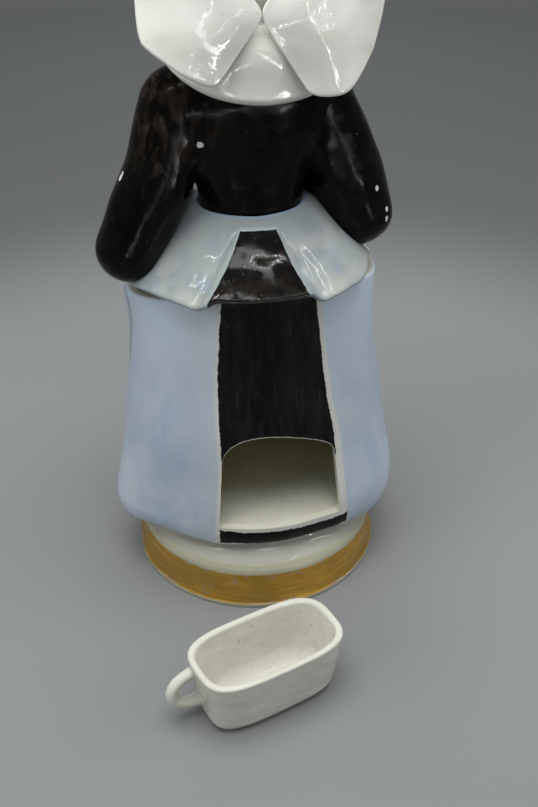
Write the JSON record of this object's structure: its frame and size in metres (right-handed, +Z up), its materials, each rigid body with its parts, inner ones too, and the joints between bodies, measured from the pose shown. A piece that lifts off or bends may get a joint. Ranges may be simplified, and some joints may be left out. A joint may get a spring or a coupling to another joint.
{
  "type": "porcelain night-light teapot",
  "caption": "Figural porcelain teapot of a woman in a winged cap, standing on a skirt-shaped warmer with an arched burner opening, with a separate burner cup.",
  "frame": {"origin": "on the table, at the middle of the box round the figure and the burner cup, seen from above", "axes": "+Z up along the figure, -Y the way the figure faces, +X towards its left-hand side; the burner opening and the cup are on the +Y side"},
  "size_m": [0.139, 0.196, 0.3072],
  "materials": {
    "white_glaze": "glossy warm-white glaze on porcelain; opaque",
    "plinth_gilding": "matt worn gilding on a white glazed porcelain plinth; opaque",
    "matte_blue_glaze": "matt pale blue colour on porcelain, black back panel with white borders; opaque",
    "bright_blue_glaze": "glossy pale turquoise-blue glaze on porcelain, black back panel; opaque",
    "black_glaze": "glossy brown-black glaze on porcelain; opaque",
    "flesh_enamel": "soft flesh-coloured enamel on porcelain; opaque"
  },
  "bodies": {
    "warmer": {"plinth": "plinth_gilding", "petticoat": "white_glaze", "chamber_floor": "white_glaze", "skirt": "matte_blue_glaze", "apron": "matte_blue_glaze", "seat_ledge": "white_glaze"},
    "teapot": {"reservoir": "white_glaze", "bodice": "black_glaze", "peplum": "bright_blue_glaze", "sleeve_left": "black_glaze", "sleeve_right": "black_glaze", "cuff_left": "white_glaze", "cuff_right": "white_glaze", "hand_left": "flesh_enamel", "hand_right": "flesh_enamel", "spout_neck": "white_glaze", "jug": "white_glaze", "collar": "white_glaze"},
    "lid": {"lid_plug": "white_glaze", "head": "flesh_enamel", "cap": "white_glaze", "cap_band": "white_glaze", "wing_left": "white_glaze", "wing_right": "white_glaze"},
    "burner_cup": {"burner_cup": "white_glaze", "burner_cup_handle": "white_glaze"}
  },
  "joints": [
    {"name": "teapot_lift", "type": "slide", "parent": "warmer", "child": "teapot", "axis": [0, 0, 1], "range_m": [0, 0.12]},
    {"name": "lid_lift", "type": "slide", "parent": "teapot", "child": "lid", "axis": [0, 0, 1], "range_m": [0, 0.05]},
    {"name": "burner_cup_lift", "type": "slide", "parent": "warmer", "child": "burner_cup", "axis": [0, 0, 1], "range_m": [0, 0.06]}
  ]
}
